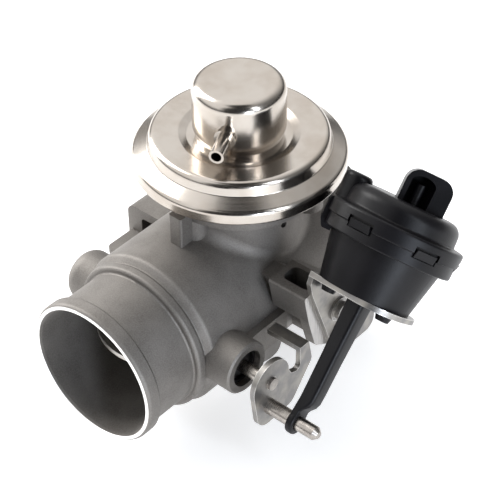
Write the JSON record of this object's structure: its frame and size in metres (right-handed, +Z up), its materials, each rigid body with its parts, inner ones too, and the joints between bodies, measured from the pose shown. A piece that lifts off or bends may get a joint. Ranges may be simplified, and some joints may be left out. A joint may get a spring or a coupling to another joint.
{
  "type": "egr valve",
  "caption": "Exhaust gas recirculation valve with a cast air horn, a vacuum worked throttle flap and a poppet valve under a pressed diaphragm can.",
  "frame": {"origin": "centre of the outlet bore at the manifold face", "axes": "+Y out of the manifold face along the outlet bore, +Z up along the valve stem, +X towards the lever and the vacuum actuator"},
  "size_m": [0.1401, 0.1292, 0.1267],
  "materials": {
    "bright_steel": "pressed and bright plated",
    "bronze": "sintered",
    "gasket": "fibre sheet",
    "housing_cast": "sand cast, shot blasted, matt",
    "plastic": "glass filled nylon, satin",
    "rubber": "moulded",
    "spring_steel": "drawn wire",
    "steel": "turned",
    "steel_dark": "turned, heat stained",
    "zinc": "zinc plated, satin"
  },
  "bodies": {
    "housing": {"housing": "housing_cast", "manifold_o_ring": "rubber", "valve_seat": "steel_dark", "stem_bush": "bronze", "stem_seal": "rubber", "can_gasket": "gasket", "can_lower_pan": "bright_steel", "can_screws": "steel", "can_upper_cover": "bright_steel", "can_cap": "bright_steel", "vacuum_nipple": "bright_steel", "diaphragm": "rubber", "valve_spring": "spring_steel", "shaft_bearings": "bronze", "shaft_seal": "rubber", "actuator_diaphragm": "rubber", "actuator_spring": "spring_steel", "actuator_cup": "plastic", "actuator_cover": "plastic", "bracket": "zinc", "bracket_screws": "zinc"},
    "flap": {"flap_shaft": "steel", "flap_plate": "steel", "flap_screws": "steel", "lever_plate": "zinc", "lever_pin": "steel"},
    "rod": {"actuator_rod": "plastic", "actuator_piston": "plastic"},
    "valve": {"poppet_valve": "steel_dark", "diaphragm_lower_plate": "zinc", "diaphragm_upper_plate": "zinc", "stem_nut": "zinc"}
  },
  "joints": [
    {"name": "flap_turn", "type": "hinge", "parent": "housing", "child": "flap", "pos_m": [0, -0.0899, 0], "axis": [1, 0, 0], "range_deg": [0, 72], "deforming": ["actuator_diaphragm", "actuator_spring"]},
    {"name": "rod_swing", "type": "hinge", "parent": "flap", "child": "rod", "pos_m": [0.0665, -0.09118, -0.01042], "axis": [1, 0, 0], "range_deg": [-67.46, 0]},
    {"name": "valve_lift", "type": "slide", "parent": "housing", "child": "valve", "axis": [0, 0, 1], "range_m": [0, 0.005], "stiffness_N_per_m": 200, "deforming": ["valve_spring", "diaphragm"]}
  ],
  "couplings": [
    {"joint": "rod_swing", "follows": "flap_turn", "ratio": -0.93}
  ]
}
